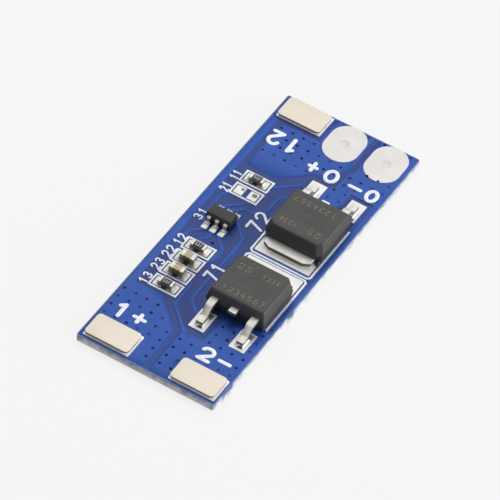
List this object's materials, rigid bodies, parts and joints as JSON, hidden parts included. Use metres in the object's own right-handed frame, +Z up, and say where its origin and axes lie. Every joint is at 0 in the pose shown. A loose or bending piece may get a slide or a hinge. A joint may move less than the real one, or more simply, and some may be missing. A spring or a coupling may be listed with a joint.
{
  "type": "battery management board",
  "caption": "Long narrow circuit board for two battery cells: weld tabs, oval output pads, two power transistors and a control chip.",
  "frame": {"origin": "middle of the board's underside", "axes": "+X across the board to the side of the transistors, +Y along the board from the cell end to the output end, +Z up from the underside"},
  "size_m": [0.0157, 0.0406, 0.0033],
  "materials": {
    "laminate": "glass-fibre board under blue solder mask, satin gloss",
    "masked_copper": "copper under blue solder mask, satin gloss",
    "tinned_land": "tin coat, satin",
    "solder": "solder, bright",
    "weld_tab": "nickel-plated, smooth satin",
    "lead_metal": "tinned copper, satin",
    "transistor_body": "moulded epoxy, fine matte grain",
    "chip_body": "moulded epoxy, fine matte grain",
    "alumina": "white alumina, matte",
    "overcoat": "black glass coat",
    "capacitor_ceramic": "fired ceramic, satin",
    "chip_end_metal": "tinned, satin",
    "white_ink": "printed ink, matte"
  },
  "bodies": {
    "root": {"circuit_board": "laminate", "cell_plus_copper": "masked_copper", "cell_minus_copper": "masked_copper", "middle_tap_copper": "masked_copper", "output_plus_copper": "masked_copper", "output_minus_copper": "masked_copper", "drain_copper": "masked_copper", "signal_tracks": "masked_copper", "weld_lands": "tinned_land", "output_plus_land": "tinned_land", "output_minus_land": "tinned_land", "transistor_lands": "tinned_land", "chip_lands": "tinned_land", "control_chip_lands": "tinned_land", "solder_plugs": "solder", "transistor_frames_ink": "white_ink", "chip_boxes_ink": "white_ink", "weld_solder": "solder", "cell_plus_tab": "weld_tab", "cell_minus_tab": "weld_tab", "middle_tap_tab": "weld_tab", "q1_body": "transistor_body", "q1_drain_frame": "lead_metal", "q1_gate_lead": "lead_metal", "q1_source_lead": "lead_metal", "q1_solder": "solder", "q2_body": "transistor_body", "q2_drain_frame": "lead_metal", "q2_gate_lead": "lead_metal", "q2_source_lead": "lead_metal", "q2_solder": "solder", "control_chip_body": "chip_body", "control_chip_legs": "lead_metal", "control_chip_solder": "solder", "r1_block": "alumina", "r1_overcoat": "overcoat", "r1_ends": "chip_end_metal", "r2_block": "alumina", "r2_overcoat": "overcoat", "r2_ends": "chip_end_metal", "r3_block": "alumina", "r3_overcoat": "overcoat", "r3_ends": "chip_end_metal", "c2_block": "capacitor_ceramic", "c2_ends": "chip_end_metal", "c3_block": "capacitor_ceramic", "c3_ends": "chip_end_metal", "chip_solder": "solder", "empty_place_solder": "solder"}
  },
  "joints": []
}
